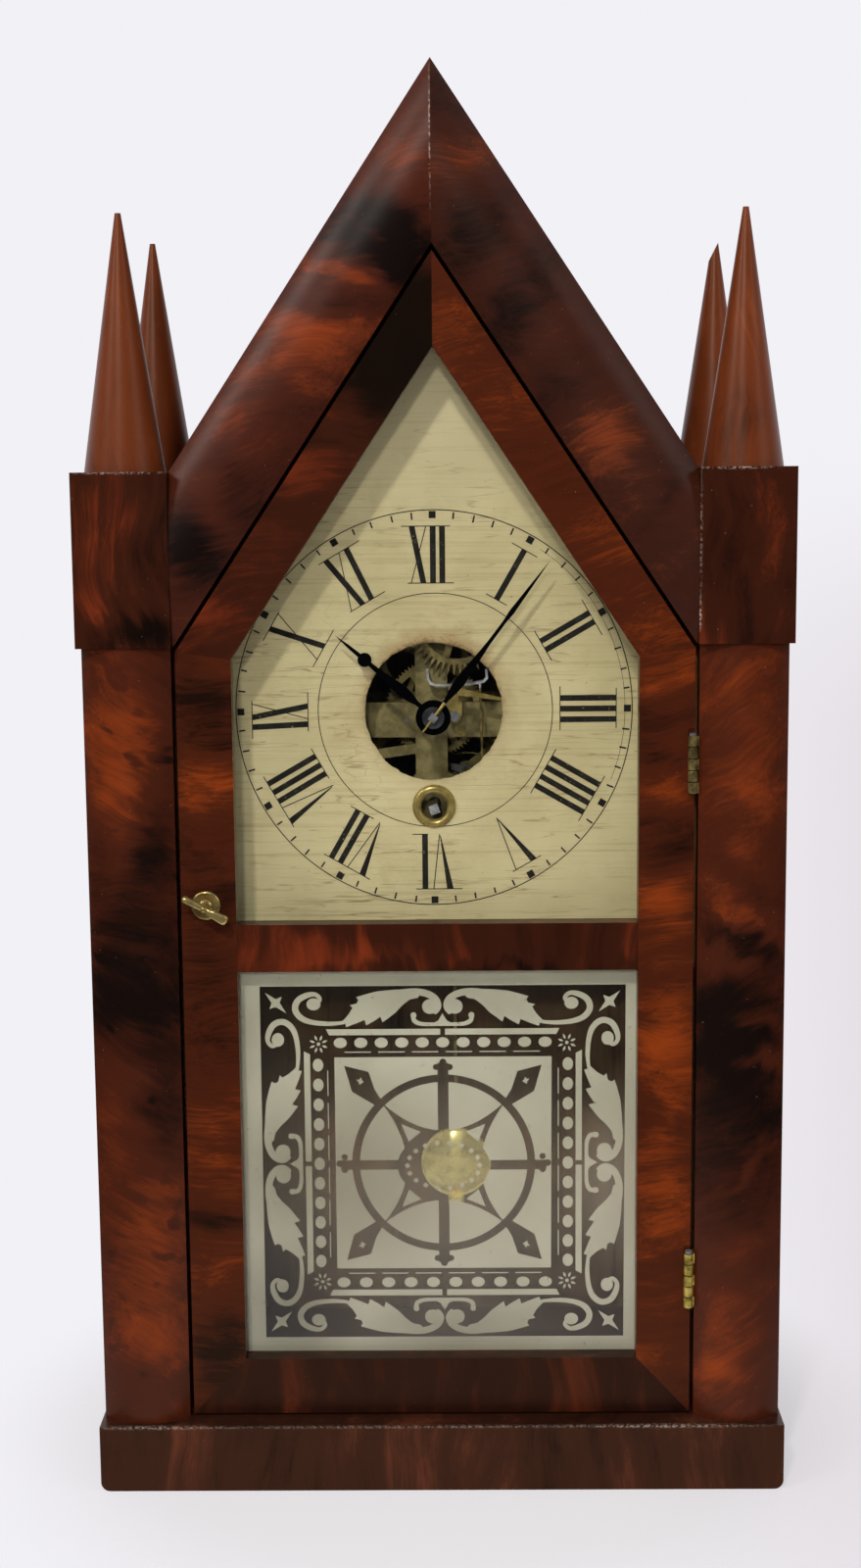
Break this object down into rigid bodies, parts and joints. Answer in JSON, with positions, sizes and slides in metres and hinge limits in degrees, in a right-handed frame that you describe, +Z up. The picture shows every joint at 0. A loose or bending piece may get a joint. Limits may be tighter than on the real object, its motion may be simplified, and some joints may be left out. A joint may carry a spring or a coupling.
{
  "type": "steeple clock",
  "caption": "Pointed veneered mantel clock with steeples, a hinged glazed door, a painted dial, a time-only movement and a short pendulum.",
  "frame": {"origin": "middle of the underside of the plinth", "axes": "+X to the right seen from the front, +Y to the back, +Z up; the dial faces -Y"},
  "size_m": [0.254, 0.12, 0.515],
  "materials": {
    "veneer": "dark red-brown flame mahogany veneer under an old polish, worn pale along some edges",
    "carcase": "dark stained and polished boards",
    "pine": "bare aged softwood",
    "turned_wood": "lighter red-brown turned wood, thin polish",
    "dial_paint": "aged cream paint with fine cracks and brown stains",
    "brass": "dull aged brass",
    "old_brass": "tarnished stamped brass",
    "steel": "plain steel, slightly dulled",
    "black_steel": "blue-black steel, faceted",
    "clear_glass": "old clear pane",
    "frosted_glass": "clear pane with a frosted ground cut away in a traditional scroll and wheel pattern"
  },
  "bodies": {
    "case": {"plinth_front": "veneer", "plinth_sides": "veneer", "floor_board": "carcase", "side_boards": "carcase", "roof_boards": "carcase", "back_board": "pine", "column_left": "veneer", "column_right": "veneer", "gable_left": "veneer", "gable_right": "veneer", "cap_blocks": "veneer", "steeples": "turned_wood", "steeple_broken": "turned_wood", "dial_battens": "pine", "dial_plate": "dial_paint", "dial_nails": "brass", "grommet": "brass", "movement_blocks": "pine", "movement_screws": "steel", "front_plate": "brass", "back_plate": "brass", "pillars": "brass", "mainspring": "steel", "plate_studs": "steel", "verge_keeper": "brass", "suspension_post": "brass", "case_hinges": "old_brass", "hinge_pins": "steel", "strike": "old_brass"},
    "door": {"door_stile_left": "veneer", "door_stile_right": "veneer", "gable_rail_left": "veneer", "gable_rail_right": "veneer", "mid_rail": "veneer", "bottom_rail": "veneer", "upper_glass": "clear_glass", "lower_glass": "frosted_glass", "glass_beads": "pine", "door_hinges": "old_brass", "escutcheon": "old_brass"},
    "latch": {"turn_knob": "old_brass"},
    "minute": {"centre_arbor": "steel", "minute_hand": "black_steel", "hand_collar": "steel", "taper_pin": "brass"},
    "minute_wheel": {"minute_wheel": "brass"},
    "hour": {"hour_hand": "black_steel", "hour_wheel": "brass"},
    "centre": {"centre_wheel": "brass"},
    "third": {"third_wheel": "brass"},
    "escape": {"escape_wheel": "brass"},
    "great": {"great_wheel": "brass"},
    "click": {"click": "steel"},
    "winding": {"winding_arbor": "steel"},
    "verge": {"verge": "steel", "verge_saddle": "brass"},
    "pendulum": {"pendulum_rod": "steel"},
    "bob": {"bob": "brass", "rating_nut": "brass"}
  },
  "joints": [
    {"name": "door_swing", "type": "hinge", "parent": "case", "child": "door", "pos_m": [0.092, -0.0516, 0.17], "axis": [0, 0, 1], "range_deg": [0, 110]},
    {"name": "latch_turn", "type": "hinge", "parent": "door", "child": "latch", "pos_m": [-0.08385, -0.0503, 0.2202], "axis": [0, 1, 0], "range_deg": [-28.8, 61.2]},
    {"name": "minute_turn", "type": "hinge", "parent": "case", "child": "minute", "pos_m": [-0.0009, -0.02, 0.2865], "axis": [0, 1, 0], "continuous": true},
    {"name": "minute_wheel_turn", "type": "hinge", "parent": "case", "child": "minute_wheel", "pos_m": [-0.01087, -0.006, 0.2832], "axis": [0, 1, 0], "continuous": true},
    {"name": "hour_turn", "type": "hinge", "parent": "case", "child": "hour", "pos_m": [-0.0009, -0.02, 0.2865], "axis": [0, 1, 0], "continuous": true},
    {"name": "third_turn", "type": "hinge", "parent": "case", "child": "third", "pos_m": [-0.00486, 0.01, 0.3061], "axis": [0, 1, 0], "continuous": true},
    {"name": "centre_turn", "type": "hinge", "parent": "case", "child": "centre", "pos_m": [-0.0009, 0.006, 0.2865], "axis": [0, 1, 0], "continuous": true},
    {"name": "escape_turn", "type": "hinge", "parent": "case", "child": "escape", "pos_m": [0.008, 0, 0.3199], "axis": [0, 1, 0], "continuous": true},
    {"name": "great_turn", "type": "hinge", "parent": "case", "child": "great", "pos_m": [-0.0009, 0.014, 0.2514], "axis": [0, 1, 0], "continuous": true},
    {"name": "click_lift", "type": "hinge", "parent": "great", "child": "click", "pos_m": [0.01131, 0.0115, 0.26094], "axis": [0, 1, 0], "range_deg": [0, 20], "stiffness_Nm_per_rad": 0.002, "springref_deg": -11.46},
    {"name": "winding_turn", "type": "hinge", "parent": "case", "child": "winding", "pos_m": [-0.0009, 0.01, 0.2514], "axis": [0, 1, 0], "continuous": true},
    {"name": "pendulum_swing", "type": "hinge", "parent": "case", "child": "pendulum", "pos_m": [0.0063, -0.0185, 0.2575], "axis": [0, 1, 0], "range_deg": [-3.5, 3.5]},
    {"name": "verge_rock", "type": "hinge", "parent": "case", "child": "verge", "pos_m": [0.0069, -0.017, 0.2853], "axis": [0, 1, 0], "range_deg": [-1.75, 1.75]},
    {"name": "bob_rating", "type": "slide", "parent": "pendulum", "child": "bob", "axis": [0, 0, 1], "range_m": [-0.004, 0.004]}
  ],
  "couplings": [
    {"joint": "minute_wheel_turn", "follows": "minute_turn", "ratio": -0.33333},
    {"joint": "hour_turn", "follows": "minute_turn", "ratio": 0.083333},
    {"joint": "centre_turn", "follows": "third_turn", "ratio": -0.11111},
    {"joint": "escape_turn", "follows": "third_turn", "ratio": -10.714},
    {"joint": "great_turn", "follows": "third_turn", "ratio": 0.012346},
    {"joint": "verge_rock", "follows": "pendulum_swing", "ratio": 0.4927}
  ]
}
